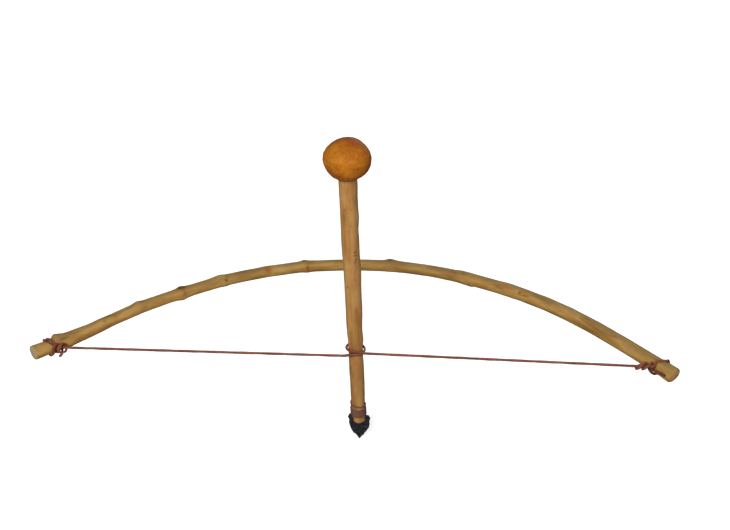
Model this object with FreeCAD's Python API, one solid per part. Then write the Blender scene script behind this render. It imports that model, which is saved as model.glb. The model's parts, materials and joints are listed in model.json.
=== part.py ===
import FreeCAD, Part
import math
import os

# A bow drill: a stone bit lashed into a split stick, turned by a string on a bent branch.
# Millimetres. Origin at the tip of the stone bit, +Z up the stick's axis, +X along the string
# towards the grip end of the bow, -Y towards the user.

V = FreeCAD.Vector

# Cord of the bow string
CORD_DIA = 2.6
CORD_SIDES = 6              # the cord is a faceted tube of the same section as a round one
CORD_TO_WOOD = 0.3          # between the string and the stick that it turns
KNOT_TO_WOOD = 0.5          # between a knot and the stave
NEAR_ALONG = 2.6            # thicknesses along a cord that count as the same stretch

# Spindle, a peeled stick, with its radius at places along it
SPINDLE_SEAT_R = 7.2        # round length that the string turns
SPINDLE_SEAT_LOW = 97.0
SPINDLE_SEAT_HIGH = 117.0
SPINDLE_TOP_R = 8.8         # round length that turns in the hand socket
SPINDLE_TOP_LOW = 284.0
SPINDLE_TOP_Z = 303.5
SPINDLE_TOP_BEVEL = 2.4
SPINDLE_LASHED_R = 7.1      # round length under the lashing, down to the jaws' end
SPINDLE_LASHED_HIGH = 53.0
SPINDLE_END_Z = 19.5        # end of the split jaws
SPINDLE_END_BEVELS = (1.6, 4.2)
# height, radius and sideways drift of the stick's middle
LOWER_STICK = [(66.0, 7.3, 0.2), (80.0, 7.4, 0.05)]
UPPER_STICK = [(127.0, 7.5, -0.2), (140.0, 8.0, -0.1), (154.0, 8.15, 0.25), (168.0, 8.1, 0.1),
               (181.0, 8.15, 0.2), (194.0, 8.5, 0.35), (205.0, 8.3, 0.0), (214.0, 8.45, -0.3),
               (227.0, 8.55, -0.4), (240.0, 8.3, -0.5), (252.0, 8.8, 0.1), (265.0, 8.6, -0.2),
               (276.0, 8.65, -0.2)]
SPLIT_TOP_Z = 52.0          # where the saw cut for the bit ends

# Stone bit, a knapped leaf with a tang
TANG_THICK = 4.1
TANG_WIDTH = 9.5
TANG_TOP_Z = 49.0
TANG_CLEAR = 0.1            # each side, in the split
TANG_TAPERS = (1.0, 1.5)    # the tang narrows by this at its right and left
SHOULDER_RISE = 0.4         # from the leaf's shoulders to the foot of the tang
# half outlines of the leaf from its tip up: distance from the middle, height
LEAF_RIGHT = [(4.4, 6.0), (7.4, 9.6), (9.8, 13.4), (10.8, 18.0), (10.4, 21.0), (11.7, 25.2),
              (10.0, 28.4)]
LEAF_LEFT = [(-2.8, 4.4), (-6.2, 8.6), (-9.0, 13.4), (-10.2, 18.4), (-9.9, 22.6),
             (-11.1, 26.2), (-9.8, 28.8)]
SCAR_R = 4.2                # a flake scar is a shallow trough
SCAR_REACH = 8.0            # from the edge in to the face
SCAR_SLANT = 0.22           # rise towards the tang for each step inward
SCAR_OVERRUN = 3.0          # past the edge
SCAR_EDGE = 0.35            # half thickness left at the edge
SCARS_PER_SIDE = 6
SCAR_PHASES = (0.3, 0.75)   # of their spacing, so that scars on the two faces alternate
SCAR_UNEVEN = 0.16          # how much longer or shorter than their reach
SCAR_MIDDLE = 1.0           # a long scar crosses the leaf's middle by this

# Lashing, a thong round the split end
THONG_DIA = 2.4
THONG_CLEAR = 0.28
THONG_PITCH = 3.1
THONG_LOW_Z = 30.4
THONG_START = 195           # degrees round the stick from the user's side, so its ends hide
THONG_CLOSE_TURNS = 3
THONG_LAST_CLIMB = 5.6      # the last turn climbs away from the close ones

# Hand socket, a lumpy ball with a blind hole
BALL_R = 21.8
BALL_HALF_HEIGHT = 19.2
BALL_MIDDLE_Z = 312.6
BALL_LUMP = 0.6             # how far its rings swell and shrink
BALL_RING_STEP = 15         # degrees of latitude between rings
SOCKET_CLEAR = 0.1          # radial, round the spindle's top
SOCKET_END_CLEAR = 0.3
LIP_WALL = 1.7
LIP_DROP = 1.0              # below the ball, at the lip's outer side
LIP_BEVEL = 0.8

# String and the bow's plane
STRING_ABOVE_SEAT = 8.0     # from the seat's lower end to the string's lower lead
STRING_Z = SPINDLE_SEAT_LOW + STRING_ABOVE_SEAT
TURN_PITCH = 3.6
TURN_LEAD = 12.0            # straight lengths at each side of the turn
STRING_LEFT_X = -283.0      # where the string leaves each knot
STRING_RIGHT_X = 268.0
HITCH_OFFSET = 12.0         # from the stave's axis out to the string, room for one cord between
VIEW_TILT = 33.0            # the string lies on the user's upper side of the stave
BOW_TILT = 14.0             # degrees that the stave rises away from the string

# Stave, a bent branch: its axis in the bow's plane, along the string and away from it
STAVE_AXIS = [(-326.0, -13.0), (-309.0, -4.2), (-291.0, 7.0), (-265.0, 28.0), (-238.0, 48.7),
              (-210.0, 67.0), (-181.0, 82.6), (-152.0, 97.0), (-112.0, 111.6), (-70.0, 121.8),
              (-25.0, 126.6), (18.0, 127.0), (60.0, 122.2), (98.0, 113.2), (135.0, 100.6),
              (170.0, 85.8), (200.0, 69.2), (225.0, 52.6), (250.0, 33.8), (270.0, 17.6),
              (292.0, -0.6), (306.0, -11.4)]
# distance along the string and radius
STAVE_RADII = [(-326.0, 6.8), (-285.0, 6.7), (-240.0, 6.15), (-190.0, 5.95), (-60.0, 5.9),
               (60.0, 6.0), (120.0, 6.4), (180.0, 6.9), (250.0, 7.2), (306.0, 7.5)]
# swellings where twigs grew: place, half width, height, and the side it is on in degrees round
# the stave (0 towards the string, 90 up); None swells all round
STAVE_NODES = [(-296.0, 4.0, 1.2, 140.0), (-286.0, 8.0, 1.5, 140.0),
               (-266.0, 5.0, 0.5, 40.0), (-231.0, 5.5, 1.2, 130.0),
               (-191.0, 5.5, 1.0, None), (-153.0, 6.0, 0.8, 135.0), (-66.0, 6.0, 0.8, 130.0),
               (22.0, 5.5, 1.3, 125.0), (102.0, 6.0, 0.6, None), (147.0, 8.0, 0.6, 60.0)]
STAVE_STEP = 24.0           # between plain sections
STAVE_END_ROUND = 0.9       # worn rim of each sawn end

# Knots, each at a place along the stave's axis. A wrap has stops: distance from that place,
# degrees round the stave, and lean along it. A hitch then coils round the standing string.
LEFT_WRAP_U = -311.0
LEFT_LEAD = 17.0            # straight length from the span to the first wrap
LEFT_WRAPS = [(-2.6, 130, -0.35), (-2.8, 225, 0.1), (-0.2, 315, 0.35), (10.2, 405, 0.0),
              (2.2, 495, -0.35), (3.0, 585, 0.1), (9.0, 670, 0.45)]
LEFT_COIL_START = 10.0
LEFT_COIL_ANGLE = -25
LEFT_COIL_QUARTERS = 6
LEFT_COIL_PITCH = 3.2
LEFT_TAIL = [((1.6, 0.6, -5.6), (-0.2, -0.05, -1.0)), ((-2.6, -1.6, -12.0), (-0.7, -0.4, -0.75))]
RIGHT_WRAP_U = 297.0
RIGHT_LEAD = 18.0
RIGHT_WRAPS = [(2.0, 130, 0.35), (0.0, 225, -0.2), (-4.5, 315, -0.35)]
RIGHT_COIL_START = 15.0
RIGHT_COIL_ANGLE = -20
RIGHT_COIL_QUARTERS = 9
RIGHT_COIL_PITCH = -5.4     # back towards the spindle
COIL_R = 3.2                # from the middle of the string to the middle of the hitch

os.makedirs("parts", exist_ok=True)

section_turn = 2 * math.pi / CORD_SIDES
corner_share = math.sqrt(section_turn / math.sin(section_turn))
cord_r = CORD_DIA / 2 * corner_share
turn_r = SPINDLE_SEAT_R + CORD_TO_WOOD + cord_r
tilt = math.radians(BOW_TILT)
view = math.radians(VIEW_TILT)
along_bow = V(0, math.cos(tilt), math.sin(tilt))
bow_normal = V(0, -math.sin(tilt), math.cos(tilt))
string_mid = V(0, -turn_r, STRING_Z + TURN_PITCH / 2)
bow_base = string_mid + V(0, math.cos(view), -math.sin(view)) * HITCH_OFFSET


def unit(v):
    return v * (1.0 / v.Length)


def circle_wire(centre, normal, radius, zero=V(0, -1, 0)):
    """A round section whose seam lies on its zero side."""
    circle = Part.Circle(centre, normal, radius)
    circle.XAxis = zero
    return Part.Wire(circle.toShape())


def cord_section(centre, normal, diameter=CORD_DIA):
    """A regular polygon with the area of the round cord."""
    reach = diameter / 2 * corner_share
    side = unit(normal.cross(V(0.3, 0.2, 1)))
    up = unit(normal).cross(side)
    corners = []
    for k in range(CORD_SIDES):
        a = (k + 0.5) * section_turn
        corners.append(centre + side * (reach * math.cos(a)) + up * (reach * math.sin(a)))
    return Part.makePolygon(corners + corners[:1])


def arc_from_tangent(start, tangent, end):
    """The arc or line that leaves start along tangent and reaches end."""
    chord = end - start
    along = unit(chord)
    side = tangent - along * tangent.dot(along)
    if side.Length < 1e-6:
        return Part.LineSegment(start, end).toShape()
    half = math.acos(max(-1.0, min(1.0, tangent.dot(along))))
    middle = start + chord * 0.5 + unit(side) * (chord.Length / 2 * math.tan(half / 2))
    return Part.Arc(start, middle, end).toShape()


def biarc(p0, t0, p1, t1):
    """Two tangent arcs from p0 along t0 to p1 along t1."""
    chord = p1 - p0
    both = t0 + t1
    apart = 2 * (1 - t0.dot(t1))
    if apart < 1e-9:
        reach = chord.dot(chord) / (4 * chord.dot(t1))
    else:
        b = chord.dot(both)
        reach = (-b + math.sqrt(b * b + 2 * apart * chord.dot(chord) / 2)) / apart
    joint = (p0 + p1 + (t0 - t1) * reach) * 0.5
    first = arc_from_tangent(p0, t0, joint)
    middle_tangent = unit(joint - p0) * 2 * unit(joint - p0).dot(t0) - t0
    return [first, arc_from_tangent(joint, unit(middle_tangent), p1)]


def route(stops):
    """A wire of straight runs and biarcs through (point, direction) stops."""
    edges = []
    for (p0, t0), (p1, t1) in zip(stops, stops[1:]):
        t0 = unit(t0)
        t1 = unit(t1)
        along = unit(p1 - p0)
        if t0.dot(along) > 1 - 1e-9 and t1.dot(along) > 1 - 1e-9:
            edges.append(Part.LineSegment(p0, p1).toShape())
        else:
            edges.extend(biarc(p0, t0, p1, t1))
    return Part.Wire(edges)


def points_on(wire, spacing=0.5):
    found = []
    for edge in wire.OrderedEdges:
        count = max(2, int(edge.Length / spacing))
        found.extend(edge.discretize(count + 1)[:-1])
    return found


def least_self_gap(wire, thickness):
    """The least free distance between two stretches of one cord, measured on points."""
    points = points_on(wire)
    spacing = wire.Length / len(points)
    apart = int(NEAR_ALONG * thickness / spacing)
    least = 1e9
    for i, p in enumerate(points):
        for q in points[i + apart:]:
            least = min(least, p.distanceToPoint(q))
    return least - thickness


def tightest(wire):
    radii = [e.Curve.Radius for e in wire.Edges if hasattr(e.Curve, "Radius")]
    return min(radii) if radii else 0.0


def cord_tube(stops, name, diameter=CORD_DIA):
    """A cord along its stops, with its length, tightest bend, volume and least gap printed."""
    wire = route(stops)
    tube = wire.makePipeShell([cord_section(stops[0][0], stops[0][1], diameter)], True, False)
    section = math.pi * diameter ** 2 / 4
    print(name, "length %.1f" % wire.Length, "tightest radius %.2f" % tightest(wire),
          "volume over section and length %.4f" % (tube.Volume / (section * wire.Length)),
          "least gap %.2f" % least_self_gap(wire, diameter))
    return tube


def bow_point(u, v, rise=0.0):
    """A point of the bow's plane: along the string, away from it and above the plane."""
    return bow_base + V(u, 0, 0) + along_bow * v + bow_normal * rise


def interpolate(table, x):
    """Smooth steps between the rows of a table of (place, value)."""
    if x <= table[0][0]:
        return table[0][1]
    for (x0, y0), (x1, y1) in zip(table, table[1:]):
        if x <= x1:
            t = (x - x0) / (x1 - x0)
            t = t * t * (3 - 2 * t)
            return y0 + (y1 - y0) * t
    return table[-1][1]


# Stave

stave_curve = Part.BSplineCurve()
stave_curve.interpolate([bow_point(u, v) for u, v in STAVE_AXIS])


def stave_frame(u):
    """Centre, direction, side away from the string, and radius of the stave at u."""
    low = stave_curve.FirstParameter
    high = stave_curve.LastParameter
    for _ in range(50):
        mid = (low + high) / 2
        if stave_curve.value(mid).x < u:
            low = mid
        else:
            high = mid
    centre = stave_curve.value(low)
    along = unit(stave_curve.tangent(low)[0])
    away = unit(bow_normal.cross(along))
    return centre, along, away, interpolate(STAVE_RADII, u)


def stave_side(away, degrees):
    """Direction across the stave: 0 towards the string, 90 above the bow's plane."""
    a = math.radians(degrees)
    return away * -math.cos(a) + bow_normal * math.sin(a)


def stave_round(u):
    """The stave's frame at u with its swellings: centre, direction, side away and radius."""
    centre, along, away, radius = stave_frame(u)
    for place, half_width, height, side in STAVE_NODES:
        swell = height * math.exp(-((u - place) / half_width) ** 2)
        if side is None:
            radius += swell
        else:
            radius += swell / 2
            centre = centre + stave_side(away, side) * (swell / 2)
    return centre, along, away, radius


def stave_section(u, grow=0.0):
    centre, along, _, radius = stave_round(u)
    return circle_wire(centre, along, radius + grow, bow_normal)


def make_stave():
    first = STAVE_AXIS[0][0]
    last = STAVE_AXIS[-1][0]
    count = int(round((last - first) / STAVE_STEP))
    places = {round(first + (last - first) * i / count, 3) for i in range(count + 1)}
    for place, half_width, _, _ in STAVE_NODES:
        places = {p for p in places if abs(p - place) > 1.6 * half_width or p in (first, last)}
        places |= {place + k * half_width for k in (-1.2, 0.0, 1.2)}
    for end, inward in ((first, 1), (last, -1)):
        places.discard(end)
        places.add(end + inward * STAVE_END_ROUND)
    sections = [stave_section(u) for u in sorted(places)]
    sections.insert(0, stave_section(first, -STAVE_END_ROUND))
    sections.append(stave_section(last, -STAVE_END_ROUND))
    return Part.makeLoft(sections, True, True)


# String, in three lengths: two spans and the turn round the spindle


def make_span(x_from, x_to, z):
    run = V(x_to - x_from, 0, 0)
    return Part.Face(cord_section(V(x_from, -turn_r, z), run)).extrude(run)


def make_string_turn():
    """One turn that climbs by a pitch, with a straight lead at each side."""
    stops = [(V(-TURN_LEAD, -turn_r, STRING_Z), V(1, 0, 0))]
    for quarter in range(5):
        a = quarter * math.pi / 2
        climb = TURN_PITCH * (a - math.sin(a)) / (2 * math.pi)
        slope = TURN_PITCH * (1 - math.cos(a)) / (2 * math.pi)
        point = V(turn_r * math.sin(a), -turn_r * math.cos(a), STRING_Z + climb)
        stops.append((point, V(turn_r * math.cos(a), turn_r * math.sin(a), slope)))
    stops.append((V(TURN_LEAD, -turn_r, STRING_Z + TURN_PITCH), V(1, 0, 0)))
    return cord_tube(stops, "string turn")


# Knots


def wrap_stop(u, degrees, lean):
    """A cord's stop on the stave: round it at degrees, leaning along it by lean."""
    centre, along, away, radius = stave_round(u)
    reach = radius + KNOT_TO_WOOD + cord_r
    point = centre + stave_side(away, degrees) * reach
    a = math.radians(degrees)
    round_it = away * math.sin(a) + bow_normal * math.cos(a)
    return point, unit(round_it) + along * lean


def coil_stops(x, z, first_degrees, quarters, pitch):
    """A hitch round the standing string: 0 towards the user, 90 up, a pitch along X each turn."""
    stops = []
    for k in range(quarters + 1):
        a = math.radians(first_degrees + 90 * k)
        point = V(x + pitch * k / 4, -turn_r - COIL_R * math.cos(a), z + COIL_R * math.sin(a))
        round_it = V(0, math.sin(a), math.cos(a)) * COIL_R
        stops.append((point, round_it + V(pitch / (2 * math.pi), 0, 0)))
    return stops


def make_left_knot():
    """Two turns on the stave, the first led back under the string, then a hitch round it."""
    stops = [(V(STRING_LEFT_X, -turn_r, STRING_Z), V(-1, 0, 0)),
             (V(STRING_LEFT_X - LEFT_LEAD, -turn_r, STRING_Z), V(-1, 0, 0))]
    stops += [wrap_stop(LEFT_WRAP_U + du, degrees, lean) for du, degrees, lean in LEFT_WRAPS]
    stops += coil_stops(STRING_LEFT_X - LEFT_COIL_START, STRING_Z, LEFT_COIL_ANGLE,
                        LEFT_COIL_QUARTERS, LEFT_COIL_PITCH)
    # the cut tail drops behind the string, then points back towards the stave's end
    over = stops[-1][0]
    stops += [(over + V(*step), V(*heading)) for step, heading in LEFT_TAIL]
    return cord_tube(stops, "left knot")


def make_right_knot():
    """One round turn on the stave, then a timber hitch twisted back along the string."""
    z = STRING_Z + TURN_PITCH
    stops = [(V(STRING_RIGHT_X, -turn_r, z), V(1, 0, 0)),
             (V(STRING_RIGHT_X + RIGHT_LEAD, -turn_r, z), V(1, 0, 0))]
    stops += [wrap_stop(RIGHT_WRAP_U + du, degrees, lean) for du, degrees, lean in RIGHT_WRAPS]
    stops += coil_stops(STRING_RIGHT_X + RIGHT_COIL_START, z, RIGHT_COIL_ANGLE,
                        RIGHT_COIL_QUARTERS, RIGHT_COIL_PITCH)
    return cord_tube(stops, "right knot")


# Spindle


def stick_loft(rows):
    rings = [circle_wire(V(dx, 0, z), V(0, 0, 1), r) for z, r, dx in rows]
    return Part.makeLoft(rings, True, True)


def rod(radius, z_from, z_to):
    return Part.makeCylinder(radius, abs(z_to - z_from), V(0, 0, min(z_from, z_to)))


def rim_at(solid, z):
    """The round edges of a rod's end at z."""
    return [e for e in solid.Edges if e.Closed and abs(e.CenterOfMass.z - z) < 0.01]


def make_spindle():
    lower = [(SPINDLE_LASHED_HIGH, SPINDLE_LASHED_R, 0.0)] + LOWER_STICK
    lower += [(SPINDLE_SEAT_LOW, SPINDLE_SEAT_R, 0.0)]
    upper = [(SPINDLE_SEAT_HIGH, SPINDLE_SEAT_R, 0.0)] + UPPER_STICK
    upper += [(SPINDLE_TOP_LOW, SPINDLE_TOP_R, 0.0)]
    foot = rod(SPINDLE_LASHED_R, SPINDLE_LASHED_HIGH, SPINDLE_END_Z)
    for bevel in SPINDLE_END_BEVELS[::-1]:
        foot = foot.makeChamfer(bevel, rim_at(foot, SPINDLE_END_Z))
    head = rod(SPINDLE_TOP_R, SPINDLE_TOP_LOW, SPINDLE_TOP_Z)
    head = head.makeChamfer(SPINDLE_TOP_BEVEL, rim_at(head, SPINDLE_TOP_Z))
    seat = rod(SPINDLE_SEAT_R, SPINDLE_SEAT_LOW, SPINDLE_SEAT_HIGH)
    stick = foot.fuse([stick_loft(lower), seat, stick_loft(upper), head])
    # the lower end is split for the bit
    split = TANG_THICK + 2 * TANG_CLEAR
    return stick.cut(Part.makeBox(4 * SPINDLE_TOP_R, split, SPLIT_TOP_Z,
                                  V(-2 * SPINDLE_TOP_R, -split / 2, 0)))


# Stone bit


def leaf_side(points, z):
    """Distance of the leaf's edge from the middle at a height."""
    rows = [(0.0, 0.0)] + [(h, x) for x, h in points]
    for (z0, x0), (z1, x1) in zip(rows, rows[1:]):
        if z <= z1:
            return x0 + (x1 - x0) * (z - z0) / (z1 - z0)
    return rows[-1][1]


def scar(points, z, face, reach):
    """A trough from the leaf's edge up to its face; face is -1 at the user's side, 1 behind."""
    edge_x = leaf_side(points, z)
    outward = 1.0 if edge_x > 0 else -1.0
    drop = TANG_THICK / 2 - SCAR_EDGE
    # the trough's floor runs inward and up to the face, and a little towards the tang
    inward = unit(V(-outward * reach, face * drop, SCAR_SLANT * reach))
    floor_at_edge = V(edge_x, face * SCAR_EDGE, z)
    above = unit(V(outward * drop, face * reach, 0))
    start = floor_at_edge + above * SCAR_R - inward * SCAR_OVERRUN
    return Part.makeCylinder(SCAR_R, reach + 4 * SCAR_OVERRUN, start, inward)


def make_flint():
    half = TANG_THICK / 2
    right = [V(x, 0, z) for x, z in [(0, 0)] + LEAF_RIGHT]
    left = [V(x, 0, z) for x, z in [(0, 0)] + LEAF_LEFT]
    neck = max(LEAF_RIGHT[-1][1], LEAF_LEFT[-1][1]) + SHOULDER_RISE
    right_taper, left_taper = TANG_TAPERS
    tang = [V(TANG_WIDTH / 2, 0, neck), V(TANG_WIDTH / 2 - right_taper, 0, TANG_TOP_Z),
            V(-TANG_WIDTH / 2 + left_taper, 0, TANG_TOP_Z), V(-TANG_WIDTH / 2, 0, neck)]
    outline = Part.makePolygon(right + tang + left[::-1])
    leaf = Part.Face(outline).extrude(V(0, TANG_THICK, 0))
    leaf.translate(V(0, -half, 0))
    scars = []
    for side, points in enumerate((LEAF_RIGHT, LEAF_LEFT)):
        top = points[-1][1]
        for face in (-1, 1):
            for k in range(SCARS_PER_SIDE):
                share = (k + SCAR_PHASES[face * (side - 0.5) < 0]) / SCARS_PER_SIDE
                uneven = 1 + SCAR_UNEVEN * math.sin(2.7 * k + 1.9 * side + 0.8 * face)
                middle = abs(leaf_side(points, share * top)) + SCAR_MIDDLE
                reach = min(SCAR_REACH * uneven, middle)
                scars.append(scar(points, share * top, face, reach))
    return leaf.cut(scars)


# Lashing


def make_lashing():
    """A thong: close turns that climb towards the left in front, then one that leaves them."""
    reach = SPINDLE_LASHED_R + THONG_CLEAR + THONG_DIA / 2
    stops = []
    quarters = 4 * THONG_CLOSE_TURNS + 4
    z = THONG_LOW_Z
    for k in range(quarters + 1):
        a = math.radians(THONG_START) + k * math.pi / 2
        last = k > 4 * THONG_CLOSE_TURNS
        rise = THONG_LAST_CLIMB if last else THONG_PITCH
        if k:
            z += rise / 4
        slope = rise / (2 * math.pi)
        stops.append((V(-reach * math.sin(a), -reach * math.cos(a), z),
                      V(-reach * math.cos(a), reach * math.sin(a), slope)))
    return cord_tube(stops, "lashing", THONG_DIA)


# Hand socket


def ball_ring(latitude):
    """A ring at a latitude in degrees, a little more or less than the ball's own."""
    a = math.radians(latitude)
    radius = math.cos(a) * (BALL_R + BALL_LUMP * math.sin(5.3 * a + 0.5))
    height = V(0, 0, BALL_MIDDLE_Z + BALL_HALF_HEIGHT * math.sin(a))
    return circle_wire(height, V(0, 0, 1), radius)


def make_hand_socket():
    pole = V(0, 0, BALL_HALF_HEIGHT)
    middle = V(0, 0, BALL_MIDDLE_Z)
    rings = [ball_ring(lat) for lat in range(BALL_RING_STEP - 90, 90, BALL_RING_STEP)]
    ball = Part.makeLoft([Part.Vertex(middle - pole)] + rings + [Part.Vertex(middle + pole)],
                         True, True)
    hole_r = SPINDLE_TOP_R + SOCKET_CLEAR
    lip_r = hole_r + LIP_WALL
    drop = BALL_HALF_HEIGHT * math.sqrt(1 - (lip_r / BALL_R) ** 2)
    lip_z = BALL_MIDDLE_Z - drop - LIP_DROP
    lip = rod(lip_r, lip_z, BALL_MIDDLE_Z)
    ball = ball.fuse(lip.makeChamfer(LIP_BEVEL, rim_at(lip, lip_z)))
    hole_top = SPINDLE_TOP_Z + SOCKET_END_CLEAR
    below = BALL_MIDDLE_Z - BALL_HALF_HEIGHT - LIP_DROP - LIP_WALL
    hole = rod(hole_r, below, hole_top)
    return ball.cut(hole.makeChamfer(SPINDLE_TOP_BEVEL, rim_at(hole, hole_top)))


pieces = {
    "bow_stave": make_stave,
    "left_knot": make_left_knot,
    "string_left": lambda: make_span(STRING_LEFT_X, -TURN_LEAD, STRING_Z),
    "string_turn": make_string_turn,
    "string_right": lambda: make_span(TURN_LEAD, STRING_RIGHT_X, STRING_Z + TURN_PITCH),
    "right_knot": make_right_knot,
    "spindle": make_spindle,
    "lashing": make_lashing,
    "flint_bit": make_flint,
    "hand_socket": make_hand_socket,
}

for node, make in pieces.items():
    shape = make()
    box = shape.BoundBox
    print(node, "solids", len(shape.Solids), "valid", shape.isValid(), "volume %.0f" % shape.Volume,
          "x %.1f %.1f y %.1f %.1f z %.1f %.1f" % (box.XMin, box.XMax, box.YMin, box.YMax,
                                                  box.ZMin, box.ZMax))
    shape.exportStep("parts/%s.step" % node)
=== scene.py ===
import json
import math
import bmesh
import bpy
import numpy as np
from mathutils import Matrix, Vector, noise
from mathutils.bvhtree import BVHTree


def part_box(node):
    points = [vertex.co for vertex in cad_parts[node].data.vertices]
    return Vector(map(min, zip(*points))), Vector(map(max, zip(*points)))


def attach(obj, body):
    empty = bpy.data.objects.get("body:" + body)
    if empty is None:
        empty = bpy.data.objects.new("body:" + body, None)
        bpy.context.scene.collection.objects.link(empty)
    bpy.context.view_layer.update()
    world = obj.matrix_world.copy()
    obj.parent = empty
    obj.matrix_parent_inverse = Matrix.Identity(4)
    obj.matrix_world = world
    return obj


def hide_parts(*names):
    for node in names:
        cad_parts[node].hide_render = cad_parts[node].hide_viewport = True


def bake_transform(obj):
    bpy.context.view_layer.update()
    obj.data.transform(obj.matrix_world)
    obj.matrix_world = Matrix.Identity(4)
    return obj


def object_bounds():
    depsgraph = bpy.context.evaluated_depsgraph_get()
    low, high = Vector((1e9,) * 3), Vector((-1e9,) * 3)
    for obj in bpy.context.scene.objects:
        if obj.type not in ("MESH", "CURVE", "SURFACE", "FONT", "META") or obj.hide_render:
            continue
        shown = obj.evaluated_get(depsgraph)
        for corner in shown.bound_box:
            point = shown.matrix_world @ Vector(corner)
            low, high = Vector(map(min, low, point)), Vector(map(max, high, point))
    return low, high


# A bow drill: a stone bit lashed into a split stick, turned by a leather string on a bent branch.
# Metres. Origin at the bit's tip, +Z up the stick, +X along the string, -Y towards the user.

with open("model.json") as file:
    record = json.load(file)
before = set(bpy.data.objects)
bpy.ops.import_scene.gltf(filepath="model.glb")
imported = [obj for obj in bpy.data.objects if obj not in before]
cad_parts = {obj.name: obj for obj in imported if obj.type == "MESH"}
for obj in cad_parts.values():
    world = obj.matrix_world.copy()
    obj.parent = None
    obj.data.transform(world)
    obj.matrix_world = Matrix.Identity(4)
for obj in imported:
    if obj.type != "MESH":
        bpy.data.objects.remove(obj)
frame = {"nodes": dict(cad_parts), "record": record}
cad_low, cad_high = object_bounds()
MM = 0.001

# Camera, fitted to the photograph
CAMERA_YAW = math.radians(8.06)
CAMERA_PITCH = math.radians(29.49)
CAMERA_ROLL = math.radians(-2.33)
CAMERA_AIM = Vector((0.0126, 0.0, 0.2024))
CAMERA_DISTANCE = 1.29
CAMERA_LENS = 67.46         # on a sensor 36 mm wide
LIGHT_AIM = Vector((0.0, 0.03, 0.15))
FLOOR_GLOW = 0.6            # light that the floor adds for the camera alone
WORLD_LIGHT = 0.24          # the world's light on the pieces; the camera sees it white

# Stave
STAVE_SLICES = 100
STAVE_RING_STEP = 1.0 * MM
STAVE_SIDES = 64
STAVE_END_MARGIN = 9.0 * MM     # slices start this far inside the sawn ends
STAVE_RIM = 1.0 * MM            # worn edge of each sawn end
LEFT_DOME = 0.4 * MM            # how far the sawn ends bulge
RIGHT_DOME = 2.6 * MM
LEFT_SLANT = math.radians(19)   # the left end is sawn at a slant, facing the user
LEFT_SLANT_SIDE = 28            # degrees round the stave of the side that is cut back
RIGHT_SLANT = math.radians(9)
RIGHT_SLANT_SIDE = 130          # degrees round the stave of the side that is longer
SLANT_LENGTH = 12.0 * MM
# swellings where twigs grew: place, degrees round the stave (0 towards the string, 90 up, None
# for all round), height and half widths before and after it in millimetres
STAVE_NODES = [(-0.3265, -60, 1.7, 2.0, 15.0), (-0.3040, 120, 4.0, 3.4, 8.0),
               (-0.2940, -30, 0.5, 4.0, 6.0),
               (-0.2660, 60, 0.5, 3.0, 6.0), (-0.2310, 125, 0.7, 5.0, 3.0),
               (-0.1920, None, 0.7, 3.6, 3.0), (-0.1535, 120, 0.8, 9.0, 3.0),
               (-0.1510, -40, 0.5, 4.0, 3.0), (-0.1080, 100, 0.4, 5.0, 5.0),
               (-0.0680, 120, 0.9, 4.5, 3.0), (-0.0660, -40, 0.6, 4.0, 4.0),
               (0.0200, 115, 0.9, 2.6, 7.0), (0.0230, 210, 0.5, 4.0, 4.0),
               (0.0960, 120, 0.5, 4.0, 3.0), (0.1085, -45, 0.9, 6.0, 1.8),
               (0.1430, 75, 0.5, 6.0, 9.0), (0.2060, 200, 0.6, 5.0, 4.0),
               (0.3065, -52, 1.4, 13.0, 2.0)]
# twig scars: place, degrees round it, half length along and round, darkness
STAVE_SCARS = [(-0.3015, 118, 1.3, 3.0, 0.35), (-0.2975, 62, 4.5, 0.8, 0.85),
               (-0.2620, 66, 2.0, 1.8, 0.45), (-0.2280, 95, 3.0, 1.2, 0.35),
               (-0.1905, 100, 4.6, 3.0, 1.0), (-0.1885, 30, 0.7, 5.0, 0.45),
               (-0.1485, 42, 1.5, 1.7, 1.0), (-0.1490, -28, 1.3, 1.8, 0.9),
               (-0.1465, 84, 0.9, 2.4, 0.45), (-0.1060, 60, 2.8, 2.8, 0.40),
               (-0.0655, 25, 1.3, 3.2, 0.70), (-0.0690, 112, 2.2, 1.6, 0.35),
               (0.0215, 100, 2.4, 2.0, 0.45), (0.0280, 205, 2.2, 2.2, 0.6),
               (0.0990, 88, 1.5, 2.2, 0.40), (0.1070, -8, 1.5, 2.0, 0.55),
               (0.1580, 58, 1.4, 1.3, 0.95), (0.1680, 215, 2.4, 2.0, 0.7),
               (-0.1330, 215, 2.4, 2.4, 0.7), (-0.2420, 235, 2.2, 2.2, 0.6)]
# amber patches in the wood: place, degrees round it, half length along and round, strength
STAVE_AMBER = [(-0.2525, 72, 2.4, 2.6, 0.7), (-0.2900, 40, 5.0, 1.2, 0.5),
               (-0.1905, 60, 2.0, 2.4, 0.45), (-0.1060, 66, 4.0, 3.6, 0.7),
               (-0.0640, 40, 3.0, 3.0, 0.5), (0.0300, 60, 3.0, 2.0, 0.4),
               (0.0850, 55, 5.0, 2.0, 0.35), (0.1450, 62, 7.0, 1.3, 0.9),
               (0.1640, 54, 5.0, 1.0, 0.7), (0.2000, 50, 6.0, 1.4, 0.4)]
NODE_SPREAD = 62            # degrees round the stave over which a swelling fades
# long whittled flats, outlined by a darker line: place, degrees, half length, half width
STAVE_FLATS = [(0.150, 55, 17.0, 2.4), (-0.247, 98, 14.0, 2.0), (0.066, 150, 15.0, 2.2),
               (-0.281, 84, 15.0, 1.6), (0.236, 70, 20.0, 2.6)]

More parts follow.
